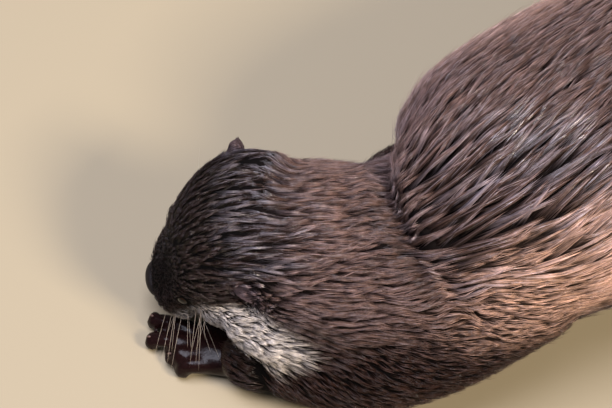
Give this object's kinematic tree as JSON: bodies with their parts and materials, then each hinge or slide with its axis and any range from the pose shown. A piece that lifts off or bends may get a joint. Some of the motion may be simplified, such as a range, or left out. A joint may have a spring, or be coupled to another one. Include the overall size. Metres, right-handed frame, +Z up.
{
  "type": "asian small-clawed otter",
  "caption": "Life-size still model of a wet brown otter crouched on all fours, its head lowered over its hands, with a pale throat, bare stubby-clawed paws and a long tapering tail.",
  "frame": {"origin": "on the floor, under the middle of the animal's box", "axes": "+Z up, -X towards the head, +X towards the tail, -Y towards the animal's left side"},
  "size_m": [0.6284, 0.2296, 0.1693],
  "materials": {
    "brown_fur": "short dense wet fur in pointed, glossy locks, dark brown with lighter tips",
    "pale_fur": "short soft cream to buff fur, damp",
    "bare_skin": "wet dark maroon-brown bare skin, finely wrinkled",
    "nose_leather": "moist, finely pebbled near-black nose skin",
    "eye": "dark brown, wet and glossy",
    "claw": "smooth dull horn"
  },
  "bodies": {
    "root": {"head": "brown_fur", "neck": "brown_fur", "trunk": "brown_fur", "tail_root": "brown_fur", "tail_middle": "brown_fur", "tail_tip": "brown_fur", "foreleg_left": "brown_fur", "foreleg_right": "brown_fur", "hindleg_left": "brown_fur", "hindleg_right": "brown_fur", "ear_left": "brown_fur", "ear_right": "brown_fur", "jaw": "pale_fur", "forepaw_left": "bare_skin", "forepaw_right": "bare_skin", "hindpaw_left": "bare_skin", "hindpaw_right": "bare_skin", "nose": "nose_leather", "eye_left": "eye", "eye_right": "eye", "claw_fore_left_1": "claw", "claw_fore_left_2": "claw", "claw_fore_left_3": "claw", "claw_fore_left_4": "claw", "claw_fore_left_5": "claw", "claw_fore_right_1": "claw", "claw_fore_right_2": "claw", "claw_fore_right_3": "claw", "claw_fore_right_4": "claw", "claw_fore_right_5": "claw", "claw_hind_left_1": "claw", "claw_hind_left_2": "claw", "claw_hind_left_3": "claw", "claw_hind_left_4": "claw", "claw_hind_left_5": "claw", "claw_hind_right_1": "claw", "claw_hind_right_2": "claw", "claw_hind_right_3": "claw", "claw_hind_right_4": "claw", "claw_hind_right_5": "claw"}
  },
  "joints": []
}
